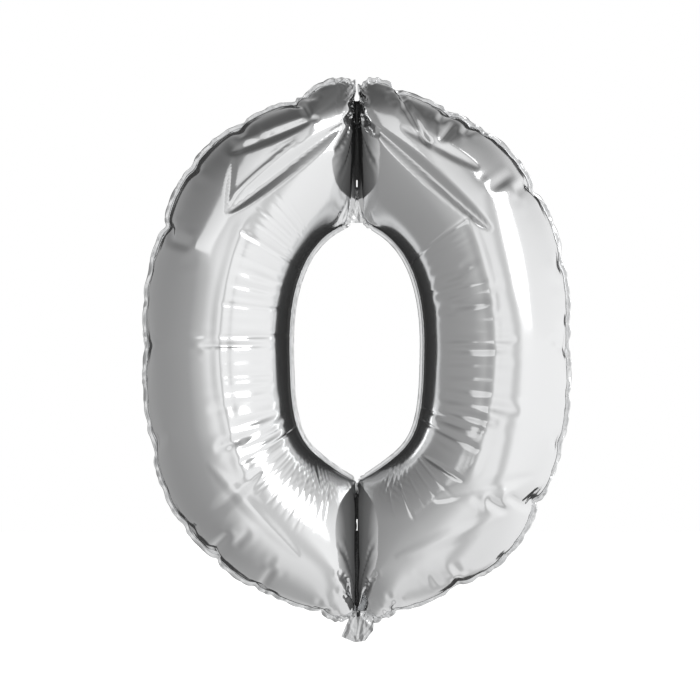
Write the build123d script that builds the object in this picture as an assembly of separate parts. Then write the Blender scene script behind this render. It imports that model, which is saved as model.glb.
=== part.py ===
from build123d import *
from math import cos, radians, sin, tan
import os

# Foil number balloon, a silver "0": two sheets of metallised film, welded edge to edge and blown up.
# Millimetres. X runs to the right, -Y is the front, +Z is up. Sizes are measured from the middle of
# the ring. At the end every piece is moved so that the middle of the whole box is the origin.

# Ring: the outer edge of the welded seam
body_half_width = 338.0
body_top = 424.0
body_bottom = 430.0
arm_depth = 190.0              # front to back, filled with gas
crown_slope = 13.0             # degrees by which the outer edge falls away from the top
crown_reach = 200.0            # how far that slope carries towards the shoulder
crown_side_reach = 300.0       # how far the upright side carries up to the shoulder
heel_slope = 12.0              # the same three at the bottom
heel_reach = 195.0
heel_side_reach = 320.0

# Hole: the free edge of its seam
hole_half_width = 99.0
hole_top = 203.0
hole_bottom = 213.0
hole_top_slope = 24.0
hole_top_reach = 60.0
hole_top_side_reach = 135.0
hole_bottom_slope = 40.0
hole_bottom_reach = 100.0
hole_bottom_side_reach = 160.0

# Film and welds
film = 0.8                     # one sheet, as drawn
seam_width = 6.0               # flat margin outside the outer weld
hole_seam_width = 5.0
weld_half = 3.0                # half the width of a pinch weld
fold_gap = 0.3                 # between the left half and the half that folds beside it
face_gap = 0.1                 # between pieces that lie against each other
shoulder = 64.0                # distance in which a lobe swells from its weld to the full depth
lobe_angle = radians(62)       # start of the swelling arc, a steep wall beside the weld
seam_angle = radians(75)       # the same where the film leaves a seam

# Web of welded film in the top corner of the hole
web_half_width = 19.0
web_height = 40.0
web_fade = 12                  # how quickly the hole's edge comes back to its own line
web_clearance = 0.7            # between the web and the lobes beside it

# Gas passages, where the pinch welds stop short of the outer seam
top_passage = 60.0
bottom_passage = 105.0
passage_depth = 6.0            # from the middle plane to the inside of the bridging film
passage_rise = 8.0             # height in which the passage opens beside the weld
passage_close = 12.0           # height in which it closes at the seam
passage_reach = 8.0            # how far it cuts into each lobe
seam_end_depth = 0.8
throat_end_depth = 2.2

# Slits left open in the pinch welds, and the notch where the two crowns part
slit_width = 2.4
top_slit_length = 10.0
top_slit_rise = 8.0            # above the web
bottom_slit_length = 16.0
bottom_slit_drop = 62.0        # below the hole's seam
notch_half_width = 8.0
notch_depth = 5.0

# Hanging ear
ear_radius = 13.0
ear_offset = 17.0              # left of the middle
ear_rise = 4.0                 # centre above the inner edge of the seam
hang_hole_radius = 1.8
hang_hole_rise = 5.5           # above the ear's centre

# Valve: two thin films in the bottom passage
valve_film = 0.3
valve_gap = 0.3
valve_offset = 6.0             # right of the middle
valve_width = 22.0
valve_length = 78.0
valve_weld = 2.0               # width of the welds along its edges
throat_overlap = 1.0           # how far the throat's welds pass each edge of the valve
throat_clearance = 0.5
throat_room = 3.0              # half the depth of the mouth that the lobes leave for the valve
throat_rise = 18.0             # how far that mouth reaches up into them

# Tail: the filling neck below the seam, given from the middle and below its bending line
tail_drop = 3.0                # from the outer edge of the seam to the bending line
tail_root_gap = 1.8            # from the bending line to the tail's own film
tail_root_left = (-15.0, tail_root_gap)
tail_left_corner = (-25.0, 26.0)
tail_low_left = (-3.0, 35.0)
tail_low_right = (13.0, 33.0)
tail_right_corner = (26.0, 16.0)
tail_root_right = (27.0, tail_root_gap)
tail_rounding = 1.5
tail_seal = 3.0                # width of the welds down its two sides

# Fineness of the curved surfaces
stations = 22                  # ribs along each quarter of the ring
station_crowding = 1.6         # how much closer they stand near the welds
ribs = 14                      # steps across the arm
edge_steps = 32                # points along each quarter of a seam's edge
surface_tolerance = 0.02       # between the curved surfaces and their ribs
halvings = 40                  # when a share is looked for by halving

top_end = (body_top, crown_slope, crown_reach, crown_side_reach)
bottom_end = (-body_bottom, -heel_slope, heel_reach, -heel_side_reach)
hole_top_end = (hole_top, hole_top_slope, hole_top_reach, hole_top_side_reach)
hole_bottom_end = (-hole_bottom, -hole_bottom_slope, hole_bottom_reach, -hole_bottom_side_reach)
ply_inside = valve_gap / 2 + valve_film + face_gap
tail_axis = -body_bottom - tail_drop
cut_half = 2 * film            # half the depth of anything that cuts right through a seam


def curve_point(end, half_width, inset, start, t):
    """A point on one quarter of an edge, from the middle line (t = 0) to the side (t = 1)."""
    height, slope, reach, side_reach = end
    way = 1 if height > 0 else -1
    tip = (start, height - way * inset - start * tan(radians(slope)))
    lead = (tip[0] + reach * cos(radians(slope)), tip[1] - reach * sin(radians(slope)))
    side = half_width - inset
    a, b, c, d = (1 - t) ** 3, 3 * t * (1 - t) ** 2, 3 * t * t * (1 - t), t**3
    x = a * tip[0] + b * lead[0] + (c + d) * side
    z = a * tip[1] + b * lead[1] + c * side_reach
    return x, z


def outer_point(way, inset, start, t):
    """The ring's outer edge, drawn in by inset, above the middle (way = 1) or below it (way = -1)."""
    return curve_point(top_end if way > 0 else bottom_end, body_half_width, inset, start, t)


def hole_point(way, inset, start, t):
    """The edge of the hole, moved out into the film by inset."""
    x, z = curve_point(hole_top_end if way > 0 else hole_bottom_end, hole_half_width, -inset, start, t)
    on_web = min(1.0, inset / hole_seam_width)
    if way > 0:
        x += on_web * (web_half_width - weld_half) * (1 - t) ** web_fade
    return x, z


def solve(rising, target):
    """The share, from 0 to 1, at which a rising function reaches a target."""
    low, high = 0.0, 1.0
    for _ in range(halvings):
        middle = (low + high) / 2
        if rising(middle) < target:
            low = middle
        else:
            high = middle
    return low


def height_at(way, inset, x):
    """Height of the ring's outer edge at a distance x from the middle."""
    return outer_point(way, inset, 0, solve(lambda t: outer_point(way, inset, 0, t)[0], x))[1]


roof = height_at(1, seam_width, 0)
floor = height_at(-1, seam_width, 0)
web_top = hole_top + hole_seam_width + web_height
top_weld_end = roof - top_passage
bottom_weld_end = floor + bottom_passage


def arc_depth(angle, a):
    """Depth, from 0 to 1, of an arc at the angle a from its crown, where it starts at angle."""
    return (cos(a) - cos(angle)) / (1 - cos(angle))


def swelling(distance):
    """Share of the full depth that a lobe has reached at a distance from its weld."""
    share = min(1.0, distance / shoulder)
    turned = solve(lambda part: 1 - sin(lobe_angle * (1 - part)) / sin(lobe_angle), share)
    return arc_depth(lobe_angle, lobe_angle * (1 - turned))


def rib_ends(way, q, start, shrink):
    """Both ends of a rib across the arm and the depth there, at a share q of the way to the side."""
    spread = hole_top_reach / crown_reach if way > 0 else hole_bottom_reach / heel_reach
    outer_share = spread * q + (1 - spread) * q * q * (3 - 2 * q)
    hole = hole_point(way, hole_seam_width + shrink, start, q)
    outer = outer_point(way, seam_width + shrink, start, outer_share)
    across_arm = curve_point(hole_top_end, hole_half_width, 0, 0, q)[0] + outer[0] - start
    return hole, outer, (arm_depth / 2 - shrink) * swelling(across_arm / 2)


def web_slope(share):
    """The web's side as a share of its width, at a share of the way from the hole to the seam."""
    reach = web_height / (roof - hole_top - hole_seam_width)
    return max(0.0, 1 - share / reach) ** 2


def web_shape(share, q):
    """How far the web's side keeps a rib from the straight line between its ends."""
    return (web_half_width - weld_half) * (1 - q) ** web_fade * (web_slope(share) - (1 - share))


def film_surface(start, shrink):
    """One side of the front film of the right half, from the top weld round to the bottom weld."""
    rows = []
    for way in (1, -1):
        steps = range(stations) if way > 0 else range(stations, -1, -1)
        for step in steps:
            q = (step / stations) ** station_crowding
            hole, outer, depth = rib_ends(way, q, start, shrink)
            row = []
            for rib in range(ribs + 1):
                a = seam_angle * (2 * rib / ribs - 1)
                share = (1 + sin(a) / sin(seam_angle)) / 2
                bulge = 0.0 if rib in (0, ribs) else arc_depth(seam_angle, a)
                x = hole[0] + (outer[0] - hole[0]) * share
                if way > 0 and rib not in (0, ribs):
                    x += web_shape(share, q)
                z = hole[1] + (outer[1] - hole[1]) * share
                row.append((x, -depth * bulge, z))
            rows.append(row)
    return Face.make_surface_from_array_of_points(rows, tol=surface_tolerance)


def start_of(side):
    """Where a half starts: at the weld on the left (-1), a fold gap away from it on the right (1)."""
    return weld_half if side < 0 else weld_half + fold_gap


def slab(low, high):
    """A box between two corners."""
    size = [b - a for a, b in zip(low, high)]
    return Pos(*low) * Box(*size, align=(Align.MIN, Align.MIN, Align.MIN))


def flat_piece(edges, low_y, high_y):
    """A flat piece with its outline in the middle plane and its faces at low_y and high_y."""
    return Pos(0, low_y, 0) * extrude(make_face(edges), amount=high_y - low_y, dir=(0, 1, 0))


def cornered(points):
    """A closed outline in the middle plane from its corners (x, z)."""
    return Polyline(*[(x, 0, z) for x, z in points], close=True)


def passage_sides(low, high, low_depth, high_depth, low_run, high_run, skin):
    """Corners (y, z) of a passage's front side, moved out by skin."""
    deep = passage_depth + skin
    return [
        (-low_depth - skin, low),
        (-deep, low + low_run),
        (-deep, high - high_run),
        (-high_depth - skin, high),
    ]


def top_sides(skin):
    return passage_sides(top_weld_end, roof, film, seam_end_depth, passage_rise, passage_close, skin)


def bottom_sides(skin):
    return passage_sides(floor, bottom_weld_end, throat_end_depth, film, passage_close, passage_rise, skin)


def across(corners, half_width):
    """A piece with its outline (y, z) seen from the side, as wide as twice half_width."""
    face = make_face(Polyline(*[(-half_width, y, z) for y, z in corners], close=True))
    return extrude(face, amount=2 * half_width, dir=(1, 0, 0))


def passage(sides):
    """The room of one gas passage, through both lobes."""
    return across(sides(0) + [(-y, z) for y, z in reversed(sides(0))], passage_reach)


def bridge(sides, face):
    """The film that bridges the two halves over a passage, at the front (-1) or the back (1)."""
    piece = across(sides(film) + list(reversed(sides(0))), weld_half - fold_gap)
    return piece if face < 0 else mirror(piece, about=Plane.XZ)


def throat_span(spare):
    """Left and right limits of the throat, with some to spare."""
    half = valve_width / 2 + throat_overlap + spare
    return valve_offset - half, valve_offset + half


def throat_mouth():
    """The mouth that the lobes and the seams leave for the valve."""
    left, right = throat_span(throat_clearance)
    return slab((left, -throat_room, tail_axis), (right, throat_room, floor + throat_rise))


def panel(side, face):
    """One half of the front (face = -1) or the back (1) sheet, where the gas holds it out."""
    start = start_of(side)
    outside = film_surface(start, 0)
    inside = film_surface(start + film, film)
    rim = Face(Wire(outside.edges()), [Wire(inside.edges())])
    shell = Solid(Shell([outside, inside, rim]))
    if face > 0:
        shell = mirror(shell, about=Plane.XZ)
    if side < 0:
        shell = mirror(shell, about=Plane.YZ)
    return shell - passage(top_sides) - passage(bottom_sides) - throat_mouth()


def edge_curve(point, inset, start):
    """A smooth edge down the right of the ring, from its top to its bottom."""
    top = [point(1, inset, start, step / edge_steps) for step in range(edge_steps)]
    low = [point(-1, inset, start, step / edge_steps) for step in range(edge_steps, -1, -1)]
    return [Vector(x, 0, z) for x, z in top + low]


def margin(point, near_inset, far_inset, side):
    """A flat welded margin, two sheets thick, between two edges down one side of the ring."""
    start = start_of(side)
    near = edge_curve(point, near_inset, start)
    far = edge_curve(point, far_inset, start)
    edges = [Spline(*near), Line(near[-1], far[-1]), Spline(*far), Line(far[0], near[0])]
    strip = flat_piece(edges, -film, film)
    return strip if side > 0 else mirror(strip, about=Plane.YZ)


def notch():
    """The open V between the two crowns."""
    over = body_top + notch_depth
    corners = [(0, body_top - notch_depth), (-2 * notch_half_width, over), (2 * notch_half_width, over)]
    return flat_piece(cornered(corners), -cut_half, cut_half)


def ear_disc(radius, rise=0.0):
    """A disc through the seam's thickness at the ear's centre, or straight above it."""
    height = height_at(1, seam_width, ear_offset) + ear_rise + rise
    return Pos(-ear_offset, 0, height) * Rot(90, 0, 0) * Cylinder(radius, 2 * film)


def crown_corner(spare):
    """The seam's corner between the ear's centre and the notch, which belongs to the ear."""
    return slab((-ear_offset - spare, -cut_half, roof - ear_radius), (-weld_half, cut_half, body_top))


def notch_strip():
    """The middle strip between the crowns, which the ear stays clear of."""
    return slab((-weld_half, -cut_half, roof), (ear_radius, cut_half, body_top + ear_radius))


def hang_ear():
    """The rounded ear of welded film with the hole that the balloon hangs from."""
    gas_edge = edge_curve(outer_point, seam_width - face_gap, weld_half)
    filled = flat_piece([Spline(*gas_edge), Line(gas_edge[-1], gas_edge[0])], -cut_half, cut_half)
    corner = margin(outer_point, 0, seam_width - face_gap, -1) & crown_corner(0)
    ear = (ear_disc(ear_radius) - mirror(filled, about=Plane.YZ)) + corner
    return ear - notch_strip() - notch() - ear_disc(hang_hole_radius, hang_hole_rise)


def outer_seam(side):
    """The welded margin round the outside of one half."""
    strip = margin(outer_point, 0, seam_width - face_gap, side) - notch() - throat_mouth()
    return strip - ear_disc(ear_radius + face_gap) - crown_corner(face_gap) if side < 0 else strip


def hole_seam(side):
    """The welded margin round one side of the hole."""
    return margin(hole_point, 0, hole_seam_width - face_gap, side)


def hole_web():
    """The crinkled web of welded film that fills the top corner of the hole."""
    foot = hole_point(1, hole_seam_width, weld_half, 0)[1]
    right = [hole_point(1, 0, weld_half, 0)]
    for step in range(edge_steps + 1):
        rise = (web_top - foot) * step / edge_steps
        out = (web_half_width - weld_half - web_clearance) * web_slope(rise / (roof - foot))
        right.append((weld_half - fold_gap + out, foot + rise))
    return flat_piece(cornered(right + [(-x, z) for x, z in reversed(right)]), -film, film)


def weld_bar(low, high, slit_low, slit_length):
    """A pinch weld between two heights, with a slit left open in it."""
    bar = slab((-weld_half, -film, low), (weld_half, film, high))
    half = slit_width / 2
    slit = slab((-half, -cut_half, slit_low), (half, cut_half, slit_low + slit_length))
    return bar - slit


def throat_weld(face):
    """One sheet welded to its valve film where the tail passes the seam."""
    left, right = throat_span(0)
    low = slab((left, -ply_inside - film, tail_axis + face_gap), (right, -ply_inside, floor - fold_gap))
    return low if face < 0 else mirror(low, about=Plane.XZ)


def valve_sheet(face):
    """One of the valve's two films, standing up inside the bottom passage."""
    left = valve_offset - valve_width / 2
    inner = valve_gap / 2
    sheet = slab((left, -inner - valve_film, floor), (left + valve_width, -inner, floor + valve_length))
    return sheet if face < 0 else mirror(sheet, about=Plane.XZ)


def valve_edge_welds():
    """The two narrow welds that join the valve's films along their edges."""
    inner = valve_gap / 2 - face_gap
    near = valve_offset - valve_width / 2
    far = valve_offset + valve_width / 2 - valve_weld
    strips = [slab((x, -inner, floor), (x + valve_weld, inner, floor + valve_length)) for x in (near, far)]
    return Compound(children=strips)


def tail_outline():
    """The corners of the tail (x, z), round from the left of its root."""
    left = [tail_root_left, tail_left_corner, tail_low_left]
    right = [tail_low_right, tail_right_corner, tail_root_right]
    return [(x, tail_axis - below) for x, below in left + right]


def tail_blank(low_y, high_y):
    """A piece with the tail's outline, its corners rounded."""
    piece = flat_piece(cornered(tail_outline()), low_y, high_y)
    return fillet(piece.edges().filter_by(Axis.Y), tail_rounding)


def tail_ply(face):
    """The front or the back film of the tail."""
    piece = tail_blank(-ply_inside - film, -ply_inside)
    return piece if face < 0 else mirror(piece, about=Plane.XZ)


def tail_side_welds():
    """The welds down the tail's two sides; its lower end stays open for filling."""
    left_root, left, low_left, low_right, right, right_root = tail_outline()
    channel = [
        (left_root[0] + tail_seal, left_root[1] + tail_seal),
        (left[0] + 2 * tail_seal, left[1]),
        (low_left[0], low_left[1] - tail_seal),
        (low_right[0], low_right[1] - tail_seal),
        (right[0] - tail_seal, right[1]),
        (right_root[0] - tail_seal, right_root[1] + tail_seal),
    ]
    inside = ply_inside - face_gap
    return tail_blank(-inside, inside) - flat_piece(cornered(channel), -film, film)


pieces = {
    "left_front_panel": panel(-1, -1),
    "left_back_panel": panel(-1, 1),
    "right_front_panel": panel(1, -1),
    "right_back_panel": panel(1, 1),
    "left_outer_seam": outer_seam(-1),
    "right_outer_seam": outer_seam(1),
    "left_hole_seam": hole_seam(-1),
    "right_hole_seam": hole_seam(1),
    "hang_ear": hang_ear(),
    "hole_web": hole_web(),
    "top_pinch_weld": weld_bar(web_top + face_gap, top_weld_end, web_top + top_slit_rise, top_slit_length),
    "bottom_pinch_weld": weld_bar(
        bottom_weld_end,
        -hole_bottom - face_gap,
        -hole_bottom - hole_seam_width - bottom_slit_drop - bottom_slit_length,
        bottom_slit_length,
    ),
    "top_notch_seam": slab((-weld_half, -film, roof), (weld_half, film, body_top)) - notch(),
    "top_passage_front_film": bridge(top_sides, -1),
    "top_passage_back_film": bridge(top_sides, 1),
    "bottom_passage_front_film": bridge(bottom_sides, -1),
    "bottom_passage_back_film": bridge(bottom_sides, 1),
    "throat_front_weld": throat_weld(-1),
    "throat_back_weld": throat_weld(1),
    "valve_front_film": valve_sheet(-1),
    "valve_back_film": valve_sheet(1),
    "valve_edge_welds": valve_edge_welds(),
    "tail_front_film": tail_ply(-1),
    "tail_back_film": tail_ply(1),
    "tail_side_welds": tail_side_welds(),
}

os.makedirs("parts", exist_ok=True)
boxes = [piece.bounding_box() for piece in pieces.values()]
lift = -(min(box.min.Z for box in boxes) + max(box.max.Z for box in boxes)) / 2
for name, piece in pieces.items():
    export_step(Pos(0, 0, lift) * piece, f"parts/{name}.step")
print(f"lift {lift:.4f}  tail axis z {tail_axis + lift:.4f}  valve hinge z {floor + lift:.4f}")
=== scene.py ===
import math
import random

import bpy
import numpy as np
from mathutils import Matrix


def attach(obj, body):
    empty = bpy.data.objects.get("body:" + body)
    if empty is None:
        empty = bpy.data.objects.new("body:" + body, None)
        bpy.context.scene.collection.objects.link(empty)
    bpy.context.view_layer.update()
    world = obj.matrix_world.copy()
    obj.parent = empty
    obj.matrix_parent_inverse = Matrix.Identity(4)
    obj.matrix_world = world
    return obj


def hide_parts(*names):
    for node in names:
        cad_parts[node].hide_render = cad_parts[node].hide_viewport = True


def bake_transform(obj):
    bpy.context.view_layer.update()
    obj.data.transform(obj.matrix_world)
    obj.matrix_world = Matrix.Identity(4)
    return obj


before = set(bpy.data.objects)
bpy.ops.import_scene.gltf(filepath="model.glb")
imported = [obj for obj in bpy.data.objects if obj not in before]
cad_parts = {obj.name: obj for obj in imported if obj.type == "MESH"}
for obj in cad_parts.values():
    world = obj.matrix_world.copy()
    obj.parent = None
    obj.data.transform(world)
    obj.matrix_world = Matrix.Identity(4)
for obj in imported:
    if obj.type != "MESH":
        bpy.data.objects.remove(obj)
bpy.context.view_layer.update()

MM = 0.001
LIFT = 18.4999  # millimetres from the middle of the ring to the middle of the whole balloon


# Front and back sheets: metallised nylon film cut as a flat zero 868 x 1080 mm, welded together round
# both edges and across the two pinch lines, and blown up with gas. Because the film doesn't stretch,
# its outer edge has too much length once it is filled and gathers into scallops and folds.
def value_group(name, sockets):
    """An empty node group with its sockets, and the nodes that stand for its two ends."""
    group = bpy.data.node_groups.new(name, "ShaderNodeTree")
    for label, way, kind, default in sockets:
        socket = group.interface.new_socket(name=label, in_out=way, socket_type=kind)
        if default is not None:
            socket.default_value = default
    return group, group.nodes.new("NodeGroupInput"), group.nodes.new("NodeGroupOutput")


def noise(tree, where, scale, detail, rough):
    """Soft noise at a place, from 0 to 1."""
    node = tree.nodes.new("ShaderNodeTexNoise")
    node.inputs["Scale"].default_value = scale
    node.inputs["Detail"].default_value = detail
    node.inputs["Roughness"].default_value = rough
    tree.links.new(where, node.inputs["Vector"])
    return node.outputs["Fac"]


# the relief of all film: a slow swell, fine grain, and small sharp creases that meet at corners
film_relief, group_in, group_out = value_group(
    "film relief",
    [
        ("Place", "INPUT", "NodeSocketVector", None),
        ("Crinkle", "INPUT", "NodeSocketFloat", 0.1),
        ("Sharp", "OUTPUT", "NodeSocketFloat", None),
        ("Normal", "OUTPUT", "NodeSocketVector", None),
    ],
)
place = group_in.outputs["Place"]
swell = noise(film_relief, place, 9.0, 2.0, 0.5)
grain = noise(film_relief, place, 130.0, 3.0, 0.6)
creases = film_relief.nodes.new("ShaderNodeTexVoronoi")
creases.feature = "DISTANCE_TO_EDGE"
creases.inputs["Scale"].default_value = 70.0
film_relief.links.new(place, creases.inputs["Vector"])
folds = film_relief.nodes.new("ShaderNodeMath")
folds.operation = "MINIMUM"
folds.inputs[1].default_value = 0.12
film_relief.links.new(creases.outputs["Distance"], folds.inputs[0])
mixed = film_relief.nodes.new("ShaderNodeMath")
mixed.operation = "MULTIPLY_ADD"
mixed.inputs[1].default_value = 0.35
film_relief.links.new(grain, mixed.inputs[0])
film_relief.links.new(folds.outputs["Value"], mixed.inputs[2])
soft = film_relief.nodes.new("ShaderNodeBump")
soft.inputs["Strength"].default_value = 0.25
soft.inputs["Distance"].default_value = 0.004
film_relief.links.new(swell, soft.inputs["Height"])
bump = film_relief.nodes.new("ShaderNodeBump")
bump.inputs["Distance"].default_value = 0.0006
film_relief.links.new(group_in.outputs["Crinkle"], bump.inputs["Strength"])
film_relief.links.new(mixed.outputs["Value"], bump.inputs["Height"])
film_relief.links.new(soft.outputs["Normal"], bump.inputs["Normal"])
film_relief.links.new(bump.outputs["Normal"], group_out.inputs["Normal"])
film_relief.links.new(swell, group_out.inputs["Sharp"])


def film_material(name, colour, metallic, low_rough, high_rough, crinkle):
    """Film of one colour whose haze drifts between two roughnesses, with the shared relief on it."""
    material = bpy.data.materials.new(name)
    material.use_nodes = True
    tree = material.node_tree
    shader = tree.nodes["Principled BSDF"]
    shader.inputs["Base Color"].default_value = (*colour, 1.0)
    shader.inputs["Metallic"].default_value = metallic
    relief = tree.nodes.new("ShaderNodeGroup")
    relief.node_tree = film_relief
    relief.inputs["Crinkle"].default_value = crinkle
    where = tree.nodes.new("ShaderNodeTexCoord")
    tree.links.new(where.outputs["Object"], relief.inputs["Place"])
    tree.links.new(relief.outputs["Normal"], shader.inputs["Normal"])
    haze = tree.nodes.new("ShaderNodeMapRange")
    haze.inputs["To Min"].default_value = low_rough
    haze.inputs["To Max"].default_value = high_rough
    tree.links.new(relief.outputs["Sharp"], haze.inputs["Value"])
    tree.links.new(haze.outputs["Result"], shader.inputs["Roughness"])
    return material


foil = film_material("bright_foil", (0.90, 0.905, 0.91), 1.0, 0.10, 0.17, 0.06)

BODY_HALF_WIDTH = 338.0
TOP_EDGE = (424.0, 13.0, 200.0, 300.0)  # height, slope in degrees, reach of the slope, reach of the side
LOW_EDGE = (-430.0, -12.0, 195.0, -320.0)
HOLE_HALF_WIDTH = 99.0
HOLE_TOP = (203.0, 24.0, 60.0, 135.0)
HOLE_LOW = (-213.0, -40.0, 100.0, -160.0)
SEAM_WIDTH = 6.0
HOLE_SEAM_WIDTH = 5.0
ARM_HALF_DEPTH = 95.0
SHOULDER = 60.0
LOBE_ANGLE = math.radians(62)
SEAM_ANGLE = math.radians(75)
WELD_HALF = 1.2
WEB_WIDTH = 17.0
WEB_HEIGHT = 42.0
WEB_FADE = 12
NOTCH_DROP = 24.0  # how far the gathered film sinks between the two crowns
LOW_NOTCH_DROP = 8.0
NOTCH_REACH = 16.0
TOP_WELD_END = 358.0
LOW_WELD_END = -319.0
PASSAGE_DEPTH = 7.0
PASSAGE_BLUNTNESS = 0.6
QUARTER = 64  # columns along each quarter of the ring in the simulation
CROWDING = 1.35  # above 1, the columns stand closer together beside the pinch lines
ACROSS = 36  # rows across the arm
START_JITTER = 0.6
GAS_FRAMES = 30
CUT_FRAME = 8  # frame from which the film has the size that it was cut to
GATHER_CALM = 0.65  # how far the gathers beside the outer seam are drawn smooth
GATHER_SPREAD = 3
CALM_ACROSS = (0.45, 0.4)  # share of the arm's width where that begins, and over which it grows
CALM_FROM_PINCH = (25, 40)
MOVED_FROM = 12.0  # distance from the pinch line from which a seam is laid on its outline in full
FINE_COLUMNS = 400
FINE_ROWS = 84


def edge_point(end, half_width, inset, start, t):
    """A point (x, z) of an outline, from the pinch line at t = 0 to the widest place at t = 1."""
    height, slope, reach, side_reach = end
    way = 1 if height > 0 else -1
    angle = math.radians(slope)
    tip = (start, height - way * inset - start * math.tan(angle))
    lead = (tip[0] + reach * math.cos(angle), tip[1] - reach * math.sin(angle))
    a, b, c, d = (1 - t) ** 3, 3 * t * (1 - t) ** 2, 3 * t * t * (1 - t), t**3
    x = a * tip[0] + b * lead[0] + (c + d) * (half_width - inset)
    return np.array([x, a * tip[1] + b * lead[1] + c * side_reach])


def arc_depth(angle, a):
    """Height of a circular arc above its chord, 1 at its middle, 0 at plus or minus the angle."""
    return (math.cos(a) - math.cos(angle)) / (1 - math.cos(angle))


def lobe_depth(distance):
    """Half the depth of the filled arm at a distance from the pinch line."""
    share = min(1.0, distance / SHOULDER)
    turned = 1 - math.asin((1 - share) * math.sin(LOBE_ANGLE)) / LOBE_ANGLE
    return ARM_HALF_DEPTH * arc_depth(LOBE_ANGLE, LOBE_ANGLE * (1 - turned))


def filled_rib(way, q):
    """One rib of the filled right half: its points (x, y, z) and the direction across the arm."""
    hole_end, body_end = (HOLE_TOP, TOP_EDGE) if way > 0 else (HOLE_LOW, LOW_EDGE)
    spread = hole_end[2] / body_end[2]  # keeps the ribs' two ends abreast where they leave the pinch
    hole = edge_point(hole_end, HOLE_HALF_WIDTH, -HOLE_SEAM_WIDTH, WELD_HALF, q)
    outer_share = spread * q + (1 - spread) * q * q * (3 - 2 * q)
    outer = edge_point(body_end, BODY_HALF_WIDTH, SEAM_WIDTH, WELD_HALF, outer_share)
    depth = lobe_depth((hole[0] + outer[0]) / 2 - WELD_HALF)
    if way > 0:
        hole[0] += WEB_WIDTH * (1 - q) ** WEB_FADE
    sunk = NOTCH_DROP if way > 0 else LOW_NOTCH_DROP
    outer[1] -= way * sunk * math.exp(-((outer[0] / NOTCH_REACH) ** 2))
    rib = []
    for step in range(ACROSS + 1):
        a = SEAM_ANGLE * (2 * step / ACROSS - 1)
        share = (1 + math.sin(a) / math.sin(SEAM_ANGLE)) / 2
        x, z = hole + (outer - hole) * share
        if way > 0:
            gone = max(0.0, 1 - share * (outer[1] - hole[1]) / WEB_HEIGHT)
            x += WEB_WIDTH * (1 - q) ** WEB_FADE * (gone**2 - (1 - share))
        y = 0.0 if step in (0, ACROSS) else depth * arc_depth(SEAM_ANGLE, a)
        if q == 0:
            low, high = (TOP_WELD_END, outer[1]) if way > 0 else (outer[1], LOW_WELD_END)
            if low < z < high:
                y = PASSAGE_DEPTH * math.sin(math.pi * (z - low) / (high - low)) ** PASSAGE_BLUNTNESS
        rib.append((x, y, z))
    return np.array(rib), (outer - hole) / np.linalg.norm(outer - hole)


ways = [(1, k) for k in range(QUARTER)] + [(-1, k) for k in range(QUARTER, -1, -1)]
ribs = [filled_rib(way, (k / QUARTER) ** CROWDING) for way, k in ways]
filled = np.array([rib for rib, _ in ribs])
run = np.linalg.norm(np.diff(filled, axis=1), axis=2)
reach = np.concatenate([np.zeros((len(ribs), 1)), np.cumsum(run, axis=1)], axis=1)
headings = np.array([heading for _, heading in ribs])
flat = np.zeros_like(filled)
flat[..., 0] = filled[:, :1, 0] + headings[:, :1] * reach
flat[..., 2] = filled[:, :1, 2] + headings[:, 1:] * reach
COLUMNS = len(ribs)


def grid_faces(rows, columns):
    """Quads of a grid whose points run column by column, rows points in each."""
    corner = np.arange((columns - 1) * rows).reshape(columns - 1, rows)[:, :-1].ravel()
    return np.stack([corner, corner + 1, corner + rows + 1, corner + rows], axis=1)


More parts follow.
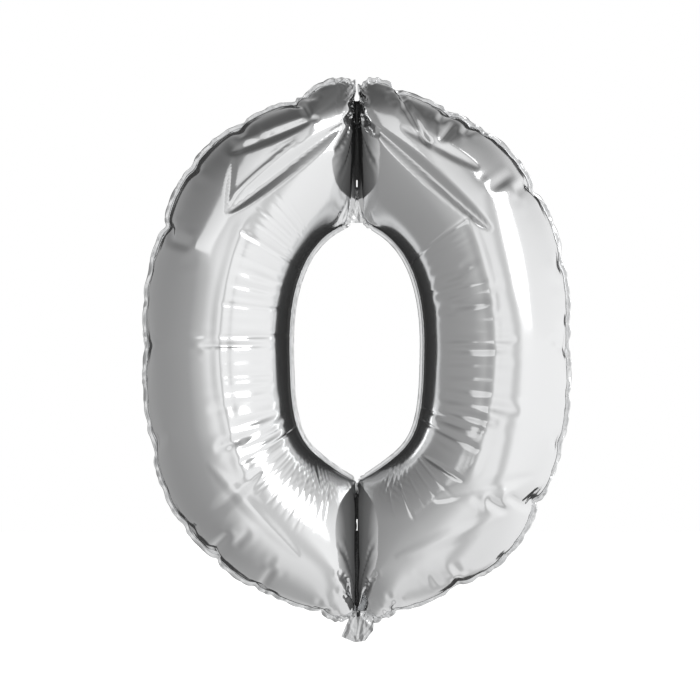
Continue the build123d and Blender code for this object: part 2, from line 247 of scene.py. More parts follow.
def inflate(seed):
    """The right half's back and front, as the Cloth solver leaves them when it is filled with gas."""
    rng = np.random.default_rng(seed)
    rows = ACROSS + 1
    count = COLUMNS * rows
    back = filled.reshape(-1, 3)
    front = back * (1, -1, 1)
    joined = np.arange(count)
    own = np.ones(count, bool).reshape(COLUMNS, rows)
    own[:, [0, -1]] = False
    own[[0, -1]] &= filled[[0, -1], :, 1] > 0.5
    welded = ~own.ravel()
    joined[~welded] = count + np.arange((~welded).sum())
    points = np.concatenate([back, front[~welded]])
    pattern = np.concatenate([flat.reshape(-1, 3), flat.reshape(-1, 3)[~welded]])
    ends = np.zeros((COLUMNS, rows), bool)
    ends[[0, -1]] = True
    held = np.concatenate([ends.ravel(), ends.ravel()[~welded]])
    pattern[held] = points[held]
    points[~held, 1] += rng.normal(0, START_JITTER, (~held).sum())
    quads = grid_faces(rows, COLUMNS)
    faces = np.concatenate([quads, joined[quads][:, ::-1]])
    mesh = bpy.data.meshes.new("film being filled")
    mesh.from_pydata((points * MM).tolist(), [], faces.tolist())
    cloth = bpy.data.objects.new("film being filled", mesh)
    bpy.context.scene.collection.objects.link(cloth)
    cloth.shape_key_add(name="filled")
    cut = cloth.shape_key_add(name="flat cut")
    cut.data.foreach_set("co", (pattern * MM).ravel())
    pins = cloth.vertex_groups.new(name="welds")
    pins.add(np.flatnonzero(held).tolist(), 1.0, "REPLACE")
    bpy.ops.mesh.primitive_cube_add(size=1, location=(-0.0495, 0, 0), scale=(0.1, 0.6, 1.4))
    wall = bpy.context.object
    bpy.ops.object.transform_apply(location=False, rotation=False, scale=True)
    wall.modifiers.new("other half", "COLLISION")
    wall.collision.thickness_outer = 0.001
    gas = cloth.modifiers.new("gas", "CLOTH")
    film = gas.settings
    film.quality = 5
    film.mass = 0.003
    film.tension_stiffness = 250
    film.compression_stiffness = 250
    film.shear_stiffness = 250
    film.bending_stiffness = 0.01
    film.use_pressure = True
    film.uniform_pressure_force = 2000
    film.vertex_group_mass = "welds"
    film.effector_weights.gravity = 0
    film.use_dynamic_mesh = True
    gas.collision_settings.distance_min = 0.001
    gas.point_cache.frame_start = 1
    gas.point_cache.frame_end = GAS_FRAMES
    cut.value = 0
    cut.keyframe_insert("value", frame=1)
    cut.value = 1
    cut.keyframe_insert("value", frame=CUT_FRAME)
    scene = bpy.context.scene
    for step in range(1, GAS_FRAMES + 1):
        scene.frame_set(step)
    shaped = cloth.evaluated_get(bpy.context.evaluated_depsgraph_get()).data
    found = np.zeros(len(points) * 3)
    shaped.vertices.foreach_get("co", found)
    found = found.reshape(-1, 3) / MM
    bpy.data.objects.remove(cloth)
    bpy.data.objects.remove(wall)
    bpy.data.meshes.remove(mesh)
    scene.frame_set(1)
    return found[:count].reshape(COLUMNS, rows, 3), found[joined].reshape(COLUMNS, rows, 3)


def smoothed(line, spread):
    """A line of points, averaged along its length."""
    taps = np.arange(-3 * spread, 3 * spread + 1)
    weights = np.exp(-((taps / spread) ** 2) / 2)
    weights /= weights.sum()
    ends = np.concatenate([np.repeat(line[:1], 3 * spread, 0), line, np.repeat(line[-1:], 3 * spread, 0)])
    return np.stack([np.convolve(ends[:, k], weights, "valid") for k in range(line.shape[1])], 1)


OUTLINE_POINTS = 400
SEAM_CALM = 5
MOVE_CALM = 4
END_COLUMNS = 8  # columns at each end of a seam that move as the next one does


def to_outline(line, top_end, low_end, half_width, inset):
    """How far a seam's smoothed line lies from its outline, point by point, as (x, z)."""
    shares = np.linspace(0, 1, OUTLINE_POINTS)
    outline = [edge_point(end, half_width, inset, 0, t) for end in (top_end, low_end) for t in shares]
    outline = np.array(outline)
    calm = smoothed(line[:, [0, 2]], SEAM_CALM)
    nearest = np.argmin(((calm[:, None] - outline[None]) ** 2).sum(2), axis=1)
    off = outline[nearest] - calm
    off[:END_COLUMNS] = off[END_COLUMNS]
    off[-END_COLUMNS:] = off[-END_COLUMNS - 1]
    return smoothed(off, MOVE_CALM)


def refine(grid, columns, rows):
    """A grid of points on a finer grid, through the same points with a smooth curve between them."""
    for axis, count in ((0, columns), (1, rows)):
        size = grid.shape[axis]
        place = np.linspace(0, size - 1, count)
        whole = np.minimum(place.astype(int), size - 2)
        t = place - whole
        taps = [
            (-t + 2 * t**2 - t**3) / 2,
            (2 - 5 * t**2 + 3 * t**3) / 2,
            (t + 4 * t**2 - 3 * t**3) / 2,
            (t**3 - t**2) / 2,
        ]
        shape = [1] * grid.ndim
        shape[axis] = count
        grid = sum(
            np.take(grid, np.clip(whole + k - 1, 0, size - 1), axis) * tap.reshape(shape)
            for k, tap in enumerate(taps)
        )
    return grid


def rise(value, start, width):
    """0 up to the start, then up to 1 over the width."""
    return np.clip((value - start) / width, 0, 1)


def fall(value, end, width):
    """1, then down to 0 over the width before the end."""
    return np.clip((end - value) / width, 0, 1)


def settled_half(seed):
    """The back and the front of one half on the fine grid, with its edges on their outlines."""
    faces = inflate(seed)
    outer = to_outline(faces[0][:, -1], TOP_EDGE, LOW_EDGE, BODY_HALF_WIDTH, SEAM_WIDTH)
    inner = to_outline(faces[0][:, 0], HOLE_TOP, HOLE_LOW, HOLE_HALF_WIDTH, -HOLE_SEAM_WIDTH)
    share = np.linspace(0, 1, ACROSS + 1)[None, :, None]
    moved = inner[:, None] * (1 - share) + outer[:, None] * share
    moved *= np.minimum(1, faces[0][:, :, 0:1] / MOVED_FROM)
    calming = GATHER_CALM * rise(share, *CALM_ACROSS) * rise(filled[..., 0:1], *CALM_FROM_PINCH)
    done = []
    for face in faces:
        face = face.copy()
        calm = np.stack([smoothed(face[:, row], GATHER_SPREAD) for row in range(ACROSS + 1)], 1)
        face += (calm - face) * calming
        face[..., [0, 2]] += moved
        face[..., 1] *= min(1.0, ARM_HALF_DEPTH / np.abs(face[..., 1]).max())
        done.append(refine(face, FINE_COLUMNS, FINE_ROWS))
    return done


def normals_of(grid):
    """The direction square to the film at each point of a grid."""
    along = np.gradient(grid, axis=0)
    across = np.gradient(grid, axis=1)
    normal = np.cross(along, across)
    return normal / np.maximum(np.linalg.norm(normal, axis=2, keepdims=True), 1e-9)


def ridge(distance, width):
    """A straight-sided ridge: 1 on its line, 0 from its half width on."""
    return np.maximum(0, 1 - np.abs(distance) / width)


def lens(x, z, start, end, width):
    """A fold drawn between two points: 1 along its middle, 0 at its two curved edges."""
    line = np.array(end) - np.array(start)
    length = np.hypot(*line)
    t = ((x - start[0]) * line[0] + (z - start[1]) * line[1]) / length**2
    away = np.abs((x - start[0]) * line[1] - (z - start[1]) * line[0]) / length
    half = width * np.sqrt(np.clip(4 * t * (1 - t), 0, 1)) + 1e-6
    return np.maximum(0, 1 - away / half) * np.sqrt(np.clip(4 * t * (1 - t), 0, 1))


FOLDS = {  # start, end, half width and depth of the long folds on the two halves, from the middle outwards
    -1: [
        ((19, 356), (205, 213), 17, -10.0),
        ((60, 366), (202, 308), 12, -5.0),
        ((92, 330), (200, 236), 8, 3.0),
        ((196, 300), (204, 216), 6, -3.0),
        ((150, -190), (270, -300), 16, -2.5),
        ((90, -330), (235, -180), 14, 2.0),
    ],
    1: [
        ((21, 356), (212, 186), 15, -9.0),
        ((64, 412), (116, 316), 9, -4.0),
        ((70, 350), (193, 284), 12, -4.0),
        ((105, -170), (169, -210), 5, -3.0),
        ((120, -240), (280, -200), 16, -2.5),
        ((60, -330), (240, -260), 14, 2.0),
    ],
}
PLEATS = {  # height from, height to, spacing and depth of the fine pleats beside the hole
    -1: [(205, 45, 6.0, 0.55), (14, -82, 8.0, 0.45), (-130, -240, 6.5, 0.5)],
    1: [(165, 138, 9.0, 0.6), (96, 60, 14.0, 0.5), (-102, -138, 9.0, 0.6), (-190, -240, 9.0, 0.45)],
}
CROSS_CREASES = {-1: [150, 62, 20, -150], 1: [166, 92, -112, -134]}
CROWN_X = 218.0  # where a soft ridge runs down the arm, how far it leans in, and its height and half width
CROWN_DROOP = 38.0
CROWN_REACH = 195.0
CROWN_HEIGHT = 1.8
CROWN_HALF_WIDTH = 13.0
ARM_END = 215.0
PLEAT_HALF_WIDTH = 1.5
CREASE_DEPTH = 1.5
CREASE_HALF_WIDTH = 2.2
BAND = 18.0  # width of the gathered band beside the outer seam
BAND_RIDGE = 7.0
BAND_CREASE_DEPTH = 2.0
BAND_CREASE_HALF_WIDTH = 2.4
KNOT_X = 22.0  # half width and lowest place of the crumpled knot between the crowns
KNOT_LOW = 346.0
KNOT_DEPTH = 0.45
KNURL_X = (15.0, 33.0)
KNURL_DEPTH = 0.5


def detail(grid, side, front, seed):
    """Creases, pleats and folds on one face of one half, as offsets along its normals."""
    rng = random.Random(seed)
    x, z = grid[..., 0], grid[..., 2]
    across = np.linalg.norm(np.diff(grid, axis=1, prepend=grid[:, :1]), axis=2).cumsum(axis=1)
    total = across[:, -1:]
    middle = grid[:, FINE_ROWS // 4]
    along = np.linalg.norm(np.diff(middle, axis=0, prepend=middle[:1]), axis=1).cumsum()[:, None]
    rim = grid[:, -1]
    rim_along = np.linalg.norm(np.diff(rim, axis=0, prepend=rim[:1]), axis=1).cumsum()[:, None]
    depth = np.zeros(x.shape)
    crown = CROWN_X - CROWN_DROOP * (z / CROWN_REACH) ** 2
    depth += CROWN_HEIGHT * ridge(x - crown, CROWN_HALF_WIDTH) * fall(np.abs(z), ARM_END, 30)
    for start, end, width, deep in FOLDS[side] if front else FOLDS[-side]:
        depth += deep * lens(x, z, start, end, width)
    near_hole = rise(across - 0.17 * total, 0, 8) * fall(x, crown - 4, 7)
    heights = middle[:, 2]
    for top, low, pitch, deep in PLEATS[side] if front else PLEATS[-side]:
        height = top
        while height > low:
            column = int(np.argmin(np.abs(heights - height)))
            strong = deep * rng.uniform(0.3, 1.3)
            begin, finish = rng.uniform(0.12, 0.24), rng.uniform(0.34, 0.52)
            window = rise(across / total, begin, 0.03) * fall(across / total, finish, 0.05)
            groove = np.exp(-(((along - along[column]) / PLEAT_HALF_WIDTH) ** 2))
            depth -= strong * groove * window * near_hole
            height -= pitch * rng.uniform(0.7, 1.4)
    for height in CROSS_CREASES[side] if front else CROSS_CREASES[-side]:
        column = int(np.argmin(np.abs(heights - height)))
        window = rise(across / total, 0, 0.06) * fall(x, crown + 3, 10)
        depth -= CREASE_DEPTH * np.exp(-(((along - along[column]) / CREASE_HALF_WIDTH) ** 2)) * window
    from_seam = total - across
    depth += ridge(from_seam - BAND, BAND_RIDGE)
    place = 20.0
    while place < rim_along[-1, 0] - 20:
        groove = np.exp(-(((rim_along - place) / BAND_CREASE_HALF_WIDTH) ** 2))
        depth -= BAND_CREASE_DEPTH * groove * fall(from_seam, BAND + 2, 4)
        place += rng.uniform(26, 56)
    crumple = sum(
        np.sin(x * rng.uniform(0.3, 1.0) + z * rng.uniform(0.4, 1.2) + rng.uniform(0, 6)) for _ in range(5)
    )
    knot = fall(x, KNOT_X, 6) * rise(z, KNOT_LOW, 6)
    depth += KNOT_DEPTH * crumple * knot
    if side < 0 and front:
        knurl = rise(x, KNURL_X[0], 2) * fall(x, KNURL_X[1], 2) * rise(z, KNOT_LOW, 4)
        depth += KNURL_DEPTH * np.sin(z * 1.5 + x * 0.4) * np.sin(x * 1.3) * knurl
    edge = rise(across, 0, 6) * rise(from_seam, 0, 5) * rise(x, WELD_HALF, 6)
    return depth * edge


def sheet_object(name, left, right, outward):
    """One sheet: its two halves side by side, joined where the gas passes from one to the other."""
    points = np.concatenate([right.reshape(-1, 3), (left * (-1, 1, 1)).reshape(-1, 3)])
    points[:, 2] += LIFT
    quads = grid_faces(FINE_ROWS, FINE_COLUMNS)
    if outward < 0:
        quads = quads[:, ::-1]
    count = FINE_COLUMNS * FINE_ROWS
    faces = [quads, quads[:, ::-1] + count]
    ends = ((0, TOP_WELD_END, math.inf), (count - FINE_ROWS, -math.inf, LOW_WELD_END))
    for first, low, high in ends:
        bridge = []
        for row in range(FINE_ROWS - 1):
            a, b = first + row, first + row + 1
            lower, upper = sorted((points[a, 2] - LIFT, points[b, 2] - LIFT))
            if low < lower and upper < high:
                quad = (a, b, b + count, a + count)
                bridge.append(quad if (first == 0) == (outward < 0) else quad[::-1])
        faces.append(np.array(bridge))
    mesh = bpy.data.meshes.new(name)
    mesh.from_pydata((points * MM).tolist(), [], np.concatenate(faces).tolist())
    mesh.shade_smooth()
    mesh.materials.append(foil)
    piece = bpy.data.objects.new(name, mesh)
    bpy.context.scene.collection.objects.link(piece)
    return piece


FILLING_SEEDS = {-1: 5, 1: 11}
halves = {side: settled_half(FILLING_SEEDS[side]) for side in (-1, 1)}
seams = {side: halves[side][0] for side in halves}
faces_done = {}
for side, (back, front) in halves.items():
    for facing, grid in ((1, back), (-1, front)):
        normal = normals_of(grid)
        normal *= np.sign((normal[..., 1:2] * facing).mean())
        relief = detail(grid, side, facing < 0, 3 * side + facing)
        faces_done[side, facing] = grid + normal * relief[..., None]

front_sheet = sheet_object("front_sheet", faces_done[-1, -1], faces_done[1, -1], -1)
back_sheet = sheet_object("back_sheet", faces_done[-1, 1], faces_done[1, 1], 1)
for piece, word in ((front_sheet, "front"), (back_sheet, "back")):
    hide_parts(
        f"left_{word}_panel",
        f"right_{word}_panel",
        f"top_passage_{word}_film",
        f"bottom_passage_{word}_film",
    )
    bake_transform(piece)


# Welded margins: the flat strip outside each weld, two sheets thick. The outer one is gathered with
# the edge of the filled film and curls into ruffles; the one round the hole stays taut and narrow.
welded_foil = film_material("welded_foil", (0.84, 0.845, 0.85), 1.0, 0.14, 0.24, 0.5)
MARGIN_COLUMNS = 760
MARGIN_ROWS = 5
MARGIN_GAP = 1.2  # from the pinch line, so that the two halves' margins stay apart when they fold
MARGIN_CALM = 8.0
LEAST_WIDTH = 0.12  # share of the width that is left beside the tail
TAIL_TAPER = 8.0
CURL = 1.4
TWO_SHEETS = 0.0004  # thickness of two welded sheets, in metres


def margin_object(name, side, line, inner, width, ruffle, bulge, lengths, seed, tail_room):
    """A strip of welded film that stands out from a seam line, and narrows where the tail takes over."""
    rng = random.Random(seed)
    share = np.linspace(0, len(line) - 1, MARGIN_COLUMNS)
    base = np.stack([np.interp(share, np.arange(len(line)), line[:, k]) for k in range(3)], 1)
    within = np.stack([np.interp(share, np.arange(len(line)), inner[:, k]) for k in range(3)], 1)
    heading = np.gradient(smoothed(base, 9)[:, [0, 2]], axis=0)
    out = np.stack([heading[:, 1], -heading[:, 0]], 1)
    out /= np.linalg.norm(out, axis=1, keepdims=True)
    out *= np.sign(((base - within)[:, [0, 2]] * out).sum(1).mean())
    place = np.linalg.norm(np.diff(base, axis=0, prepend=base[:1]), axis=1).cumsum()
    wave = np.zeros(MARGIN_COLUMNS)
    hump = np.zeros(MARGIN_COLUMNS)
    start, way = 0.0, 1
    while start < place[-1]:
        length = rng.uniform(*lengths)
        inside = (place >= start) & (place < start + length)
        curve = np.sin(math.pi * (place[inside] - start) / length)
        wave[inside] = way * rng.uniform(0.4, 1.0) * curve
        hump[inside] = curve
        start += length
        way = rng.choice((-1, -1, 1))
    beside_tail = np.interp(base[:, 0], (tail_room - TAIL_TAPER, tail_room), (LEAST_WIDTH, 1))
    full = np.where(base[:, 2] < 0, beside_tail, 1.0)
    rows = []
    for step in range(MARGIN_ROWS):
        far = step / (MARGIN_ROWS - 1)
        row = base.copy()
        row[:, [0, 2]] += out * (full * far * (width + bulge * hump))[:, None]
        row[:, 1] += ruffle * full * wave * far**CURL
        rows.append(row)
    points = np.stack(rows, 1).reshape(-1, 3)
    beside = points[:, 0] < MARGIN_CALM
    reached = (points[:, 0].min(), MARGIN_CALM)
    points[beside, 0] = np.interp(points[beside, 0], reached, (MARGIN_GAP, MARGIN_CALM))
    points *= (side, 1, 1)
    points[:, 2] += LIFT
    mesh = bpy.data.meshes.new(name)
    mesh.from_pydata((points * MM).tolist(), [], grid_faces(MARGIN_ROWS, MARGIN_COLUMNS).tolist())
    mesh.shade_smooth()
    mesh.materials.append(welded_foil)
    piece = bpy.data.objects.new(name, mesh)
    bpy.context.scene.collection.objects.link(piece)
    thick = piece.modifiers.new("two sheets", "SOLIDIFY")
    thick.thickness = TWO_SHEETS
    thick.offset = 0
    return piece


for side, word, room, others in (
    (-1, "left", 26, ["top_notch_seam"]),
    (1, "right", 0, ["throat_front_weld", "throat_back_weld"]),
):
    seam = seams[side]
    outer = margin_object(
        f"{word}_outer_margin",
        side,
        line=seam[:, -1],
        inner=seam[:, -3],
        width=SEAM_WIDTH,
        ruffle=3.0,
        bulge=0.9,
        lengths=(12, 34),
        seed=21 + side,
        tail_room=room,
    )
    inner = margin_object(
        f"{word}_hole_margin",
        side,
        line=seam[:, 0],
        inner=seam[:, 2],
        width=HOLE_SEAM_WIDTH,
        ruffle=0.7,
        bulge=0.2,
        lengths=(8, 22),
        seed=31 + side,
        tail_room=0,
    )
    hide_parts(f"{word}_outer_seam", *others)
    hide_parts(f"{word}_hole_seam")
    for piece in (outer, inner):
        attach(piece, f"{word}_half")


# Pinch welds: narrow bars where the front and back sheets are welded straight across the arm at the
# top and the bottom, with short slits left open in them; they show only at the bottom of the creases.
BAR_WIDTH = 2 * WELD_HALF + 0.8
BAR_THICKNESS = 0.5
TOP_WELDED = [(249, 257), (268, TOP_WELD_END + 3)]
LOW_WELDED = [(-272, -214), (LOW_WELD_END - 3, -290)]


def bar(name, spans, node):
    """The welded lengths of one pinch line as one flat bar; what lies between them is a slit."""
    bars = []
    for low, high in spans:
        bpy.ops.mesh.primitive_cube_add(size=1, location=(0, 0, ((low + high) / 2 + LIFT) * MM))
        block = bpy.context.object
        block.scale = (BAR_WIDTH * MM, BAR_THICKNESS * MM, (high - low) * MM)
        bars.append(block)
    bpy.ops.object.select_all(action="DESELECT")
    for block in bars:
        block.select_set(True)
    bpy.context.view_layer.objects.active = bars[0]
    bpy.ops.object.join()
    piece = bpy.context.object
    bpy.ops.object.transform_apply(location=True, rotation=False, scale=True)
    piece.name = name
    piece.data.materials.append(welded_foil)
    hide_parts(node)
    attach(piece, "left_half")
    return piece


top_weld = bar("top_weld_bar", TOP_WELDED, "top_pinch_weld")
low_weld = bar("bottom_weld_bar", LOW_WELDED, "bottom_pinch_weld")


# Web in the top corner of the hole: both sheets welded flat and spread between the lobes. The lobes
# draw it in as they fill, and it crinkles in many small sharp folds.
WEB_LEFT = [(-0.8, 250), (-1.6, 240), (-5.5, 226), (-12, 214), (-21, 200)]
WEB_RIGHT = [(-x, z) for x, z in WEB_LEFT]


def crumpled(name, left_line, right_line, columns, rows, folds, height, base_y, material, seed):
    """A strip between two lines of corners (x, z), crumpled by a number of straight folds."""
    rng = random.Random(seed)
    share = np.linspace(0, 1, rows)
    sides = []
    for line in (left_line, right_line):
        line = np.array(line, float)
        reach_along = np.linspace(0, 1, len(line))
        sides.append(np.stack([np.interp(share, reach_along, line[:, k]) for k in (0, 1)], 1))
    t = np.linspace(0, 1, columns)[:, None, None]
    flat_grid = sides[0][None] * (1 - t) + sides[1][None] * t
    span = np.ptp(flat_grid.reshape(-1, 2), axis=0).max()
    bend = np.zeros(flat_grid.shape[:2])
    for _ in range(folds):
        angle = rng.uniform(-0.9, 0.9)
        centre = flat_grid[rng.randrange(columns), rng.randrange(rows)]
        ahead = flat_grid - centre
        away = ahead[..., 0] * math.cos(angle) + ahead[..., 1] * math.sin(angle)
        bend += rng.choice((-1, 1)) * rng.uniform(0.3, 1) * ridge(away, span * rng.uniform(0.05, 0.17))
    bend *= height / max(1e-6, np.abs(bend).max())
    points = np.stack([flat_grid[..., 0], base_y + bend, flat_grid[..., 1] + LIFT], 2).reshape(-1, 3)
    mesh = bpy.data.meshes.new(name)
    mesh.from_pydata((points * MM).tolist(), [], grid_faces(rows, columns).tolist())
    mesh.shade_smooth()
    mesh.materials.append(material)
    piece = bpy.data.objects.new(name, mesh)
    bpy.context.scene.collection.objects.link(piece)
    return piece


web = crumpled(
    "hole_web_film",
    WEB_LEFT,
    WEB_RIGHT,
    columns=56,
    rows=56,
    folds=70,
    height=3.2,
    base_y=0,
    material=welded_foil,
    seed=4,
)
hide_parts("hole_web")
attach(web, "left_half")


# Hanging ear: a rounded tab of welded film that stands up from the left crown. A small hole is punched
# above its middle, and the balloon hangs from that hole.
EAR_CENTRE = (-17.0, 418.0)
EAR_RADIUS = 12.5
EAR_HOLE = (-17.0, 423.46)
EAR_HOLE_RADIUS = 1.8
EAR_SETBACK = 0.4
EAR_WAVE = 1.1
EAR_STEPS = 72
EAR_RINGS = 12
EAR_THICKNESS = 0.0005
ear_points = []
for ring in range(EAR_RINGS):
    far = ring / (EAR_RINGS - 1)
    centre_x = EAR_HOLE[0] + (EAR_CENTRE[0] - EAR_HOLE[0]) * far
    centre_z = EAR_HOLE[1] + (EAR_CENTRE[1] - EAR_HOLE[1]) * far
    radius = EAR_HOLE_RADIUS + (EAR_RADIUS - EAR_HOLE_RADIUS) * far
    for step in range(EAR_STEPS):
        turn = 2 * math.pi * step / EAR_STEPS
        x = centre_x + radius * math.cos(turn)
        z = centre_z + radius * math.sin(turn)
        y = EAR_WAVE * far * math.sin(0.55 * x + 0.8) * math.cos(0.3 * z) - EAR_SETBACK
        ear_points.append((x * MM, y * MM, (z + LIFT) * MM))
ear_faces = []
for first in range(0, (EAR_RINGS - 1) * EAR_STEPS, EAR_STEPS):
    for step in range(EAR_STEPS):
        a, b = first + step, first + (step + 1) % EAR_STEPS
        ear_faces.append((a, b, b + EAR_STEPS, a + EAR_STEPS))
ear_mesh = bpy.data.meshes.new("hanging_ear")
ear_mesh.from_pydata(ear_points, [], ear_faces)
ear_mesh.shade_smooth()
ear_mesh.materials.append(welded_foil)
ear = bpy.data.objects.new("hanging_ear", ear_mesh)
bpy.context.scene.collection.objects.link(ear)
ear_thick = ear.modifiers.new("two sheets", "SOLIDIFY")
ear_thick.thickness = EAR_THICKNESS
ear_thick.offset = 0
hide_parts("hang_ear")
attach(ear, "left_half")


# Tail: the filling neck, two slack plies of the same film cut 52 x 50 mm, joined down both sides and
# open at the end. It is crumpled from filling and lies below the bottom seam.
tail_foil = film_material("slack_foil", (0.72, 0.725, 0.73), 1.0, 0.18, 0.30, 0.7)
TAIL_LEFT = [(-7, -418), (-11.5, -428), (-15, -435), (-25, -459), (-4, -468)]
TAIL_RIGHT = [(15, -418), (24, -426), (27, -434), (26, -449), (13, -466)]
for name, y, seed, nodes in (
    ("tail_front_ply", -1.2, 12, ("tail_front_film", "tail_side_welds")),
    ("tail_back_ply", 1.2, 17, ("tail_back_film",)),
):
    ply = crumpled(
        name,
        TAIL_LEFT,
        TAIL_RIGHT,
        columns=60,
        rows=60,
        folds=34,
        height=4.6,
        base_y=y,
        material=tail_foil,
        seed=seed,
    )
    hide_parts(*nodes)
    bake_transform(ply)


# Valve: two thin milky plies cut 22 x 78 mm, standing up inside the bottom passage and welded along
# their edges, which gas pressure keeps shut. Their low ends stop short of the tail's bend.
valve_film = film_material("milky_film", (0.86, 0.88, 0.90), 0.0, 0.25, 0.35, 0.2)
valve_film.node_tree.nodes["Principled BSDF"].inputs["Transmission Weight"].default_value = 0.4
VALVE_LEFT = [(-5, -419), (-5, -346)]
VALVE_RIGHT = [(17, -419), (17, -346)]
for name, y, body, nodes in (
    ("valve_front_ply", -0.15, "valve_front", ("valve_front_film",)),
    ("valve_back_ply", 0.15, "valve_back", ("valve_back_film", "valve_edge_welds")),
):
    ply = crumpled(
        name,
        VALVE_LEFT,
        VALVE_RIGHT,
        columns=12,
        rows=30,
        folds=4,
        height=0.06,
        base_y=y,
        material=valve_film,
        seed=6,
    )
    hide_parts(*nodes)
    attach(ply, body)


# Studio: a plain white floor that runs into a white surround, two large soft lights, a dark card, and
# small dark shapes of painted shade in the hole and creases of the polished film, which show only as
# reflections in it.
FLOOR_HEIGHT = -0.9
RIGHT_ANGLE = math.pi / 2


def stage_plane(name, size, location, rotation, colour, glow, camera_sees):
    """A flat card of the studio, of one dull colour, that gives off some light of its own."""
    bpy.ops.object.select_all(action="DESELECT")
    bpy.ops.mesh.primitive_plane_add(size=1, location=location, rotation=rotation)
    plane = bpy.context.object
    plane.name = name
    plane.scale = (size[0], size[1], 1)
    material = bpy.data.materials.new(name)
    material.use_nodes = True
    shader = material.node_tree.nodes["Principled BSDF"]
    shader.inputs["Base Color"].default_value = (colour, colour, colour, 1)
    shader.inputs["Roughness"].default_value = 1.0
    shader.inputs["Emission Color"].default_value = (1, 1, 1, 1)
    shader.inputs["Emission Strength"].default_value = glow
    plane.data.materials.append(material)
    plane.visible_camera = camera_sees
    plane.visible_shadow = False
    return plane


floor = stage_plane(
    "floor", (30, 30), (0, 0, FLOOR_HEIGHT), (0, 0, 0), colour=0.8, glow=1.0, camera_sees=True
)
floor.visible_glossy = False
stage_plane(
    "dark_card_behind",
    (1.26, 1.42),
    (0, 0.42, 0.0),
    (RIGHT_ANGLE, 0, 0),
    colour=0.02,
    glow=0.02,
    camera_sees=False,
)

# small dark shapes, which only the foil sees, are painted shade in the hole and the creases: they block no
# light and cast no shadow, and show only as dark reflections. A crease's shape glows more toward its front
# and back, a painted gradient of light for the mouth of a fold letting in more light than its root
PAINTED_SHADE_STOPS = (0.0, 0.55, 1.0)
for name, place, size, tones in (
    ("hole_painted_shade", (0, 0.008, 10), (0.045, 0.050, 0.150), (0.018, 0.018, 0.018)),
    ("notch_painted_shade", (0, 0, 376), (0.004, 0.034, 0.034), (0.004, 0.01, 0.05)),
    ("top_crease_core_painted_shade", (0, 0, 303), (0.0035, 0.017, 0.056), (0.004, 0.004, 0.004)),
    ("top_crease_painted_shade", (0, 0, 303), (0.0012, 0.072, 0.066), (0.01, 0.12, 0.55)),
    ("bottom_crease_core_painted_shade", (0, 0, -322), (0.0035, 0.017, 0.100), (0.004, 0.004, 0.004)),
    ("bottom_crease_painted_shade", (0, 0, -320), (0.0012, 0.070, 0.108), (0.01, 0.12, 0.55)),
):
    where = (place[0], place[1], (place[2] + LIFT) * MM)
    bpy.ops.object.select_all(action="DESELECT")
    bpy.ops.mesh.primitive_uv_sphere_add(segments=32, ring_count=24, radius=1, location=where)
    painted_shade = bpy.context.object
    painted_shade.name = name
    painted_shade.scale = size
    # each shape's material is a copy of the dark card's, with its own glow as the painted shade
    shade_material = bpy.data.materials["dark_card_behind"].copy()
    shade_material.name = name
    nodes, links = shade_material.node_tree.nodes, shade_material.node_tree.links
    inside = nodes.new("ShaderNodeTexCoord")
    axes = nodes.new("ShaderNodeSeparateXYZ")
    depth = nodes.new("ShaderNodeMath")
    depth.operation = "ABSOLUTE"
    ramp = nodes.new("ShaderNodeValToRGB")
    ramp.color_ramp.elements.new(0.5)
    for element, stop, tone in zip(ramp.color_ramp.elements, PAINTED_SHADE_STOPS, tones):
        element.position = stop
        element.color = (tone, tone, tone, 1)
    links.new(inside.outputs["Object"], axes.inputs["Vector"])
    links.new(axes.outputs["Y"], depth.inputs[0])
    links.new(depth.outputs["Value"], ramp.inputs["Fac"])
    # the glow, darkest at the middle and brighter toward front and back, is the painted shade and painted
    # light that the foil reflects
    links.new(ramp.outputs["Color"], nodes["Principled BSDF"].inputs["Emission Color"])
    nodes["Principled BSDF"].inputs["Emission Strength"].default_value = 1.0
    painted_shade.data.materials.append(shade_material)
    painted_shade.visible_camera = False
    painted_shade.visible_shadow = False

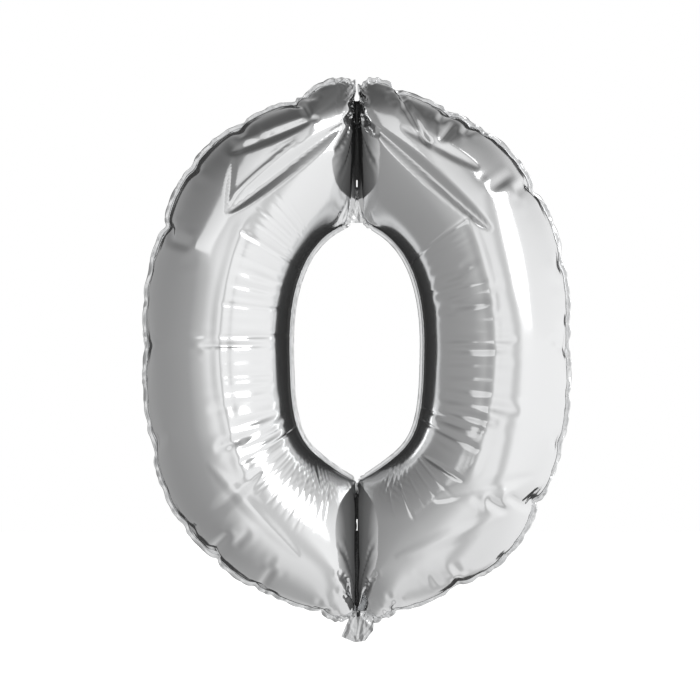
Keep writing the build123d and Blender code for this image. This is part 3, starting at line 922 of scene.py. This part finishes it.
# the surround grows darker to the left and overhead, and has one soft grey band right of the camera;
# each stop is a place from one side to the other and its tone, and the camera itself sees plain white
LEFT_TO_RIGHT = [
    (0.0, 0.34),
    (0.2, 0.40),
    (0.36, 0.60),
    (0.48, 0.95),
    (0.61, 0.98),
    (0.66, 0.66),
    (0.70, 0.70),
    (0.76, 1.05),
]
LOW_TO_HIGH = [(0.0, 0.75), (0.35, 0.95), (0.5, 1.0), (0.64, 0.9), (0.8, 0.6), (0.93, 0.25), (1.0, 0.15)]
world = bpy.data.worlds.new("surround")
world.use_nodes = True
sky = world.node_tree
direction = sky.nodes.new("ShaderNodeTexCoord")
parts = sky.nodes.new("ShaderNodeSeparateXYZ")
sky.links.new(direction.outputs["Generated"], parts.inputs["Vector"])
tones = []
for axis, stops in (("X", LEFT_TO_RIGHT), ("Z", LOW_TO_HIGH)):
    spread = sky.nodes.new("ShaderNodeMapRange")
    spread.inputs["From Min"].default_value = -1.0
    sky.links.new(parts.outputs[axis], spread.inputs["Value"])
    ramp = sky.nodes.new("ShaderNodeValToRGB")
    while len(ramp.color_ramp.elements) < len(stops):
        ramp.color_ramp.elements.new(0.5)
    for element, (where, tone) in zip(ramp.color_ramp.elements, stops):
        element.position = where
        element.color = (tone, tone, tone, 1)
    sky.links.new(spread.outputs["Result"], ramp.inputs["Fac"])
    tones.append(ramp)
product = sky.nodes.new("ShaderNodeVectorMath")
product.operation = "MULTIPLY"
sky.links.new(tones[0].outputs["Color"], product.inputs[0])
sky.links.new(tones[1].outputs["Color"], product.inputs[1])
sky.links.new(product.outputs["Vector"], sky.nodes["Background"].inputs["Color"])
sky.nodes["Background"].inputs["Strength"].default_value = 0.9
plain = sky.nodes.new("ShaderNodeBackground")
plain.inputs["Color"].default_value = (1, 1, 1, 1)
plain.inputs["Strength"].default_value = 1.0
seen = sky.nodes.new("ShaderNodeLightPath")
choice = sky.nodes.new("ShaderNodeMixShader")
sky.links.new(seen.outputs["Is Camera Ray"], choice.inputs["Fac"])
sky.links.new(sky.nodes["Background"].outputs["Background"], choice.inputs[1])
sky.links.new(plain.outputs["Background"], choice.inputs[2])
sky.links.new(choice.outputs["Shader"], sky.nodes["World Output"].inputs["Surface"])
bpy.context.scene.world = world
bpy.context.scene.view_settings.view_transform = "Standard"

LAMP_AHEAD = 2.6
LAMP_HEIGHT = 1.4
LAMP_TILT = math.radians(65)
for name, x, power in (("key_light", 2.2, 14), ("fill_light", -1.2, 3)):
    bpy.ops.object.light_add(type="AREA", location=(x, -LAMP_AHEAD, LAMP_HEIGHT))
    lamp = bpy.context.object
    lamp.name = name
    lamp.data.shape = "RECTANGLE"
    lamp.data.size = 1.2
    lamp.data.size_y = 2.0
    lamp.data.energy = power
    lamp.rotation_euler = (LAMP_TILT, 0, math.atan2(x, LAMP_AHEAD))

CAMERA_DISTANCE = 7.0
SENSOR = 36
SEEN_WIDTH = 1.115  # metres that the picture takes in at the balloon
bpy.ops.object.camera_add(location=(-0.011, -CAMERA_DISTANCE, 0.016), rotation=(RIGHT_ANGLE, 0, 0))
camera = bpy.context.object
camera.name = "camera"
camera.data.sensor_width = SENSOR
camera.data.lens = SENSOR * CAMERA_DISTANCE / SEEN_WIDTH
bpy.context.scene.camera = camera
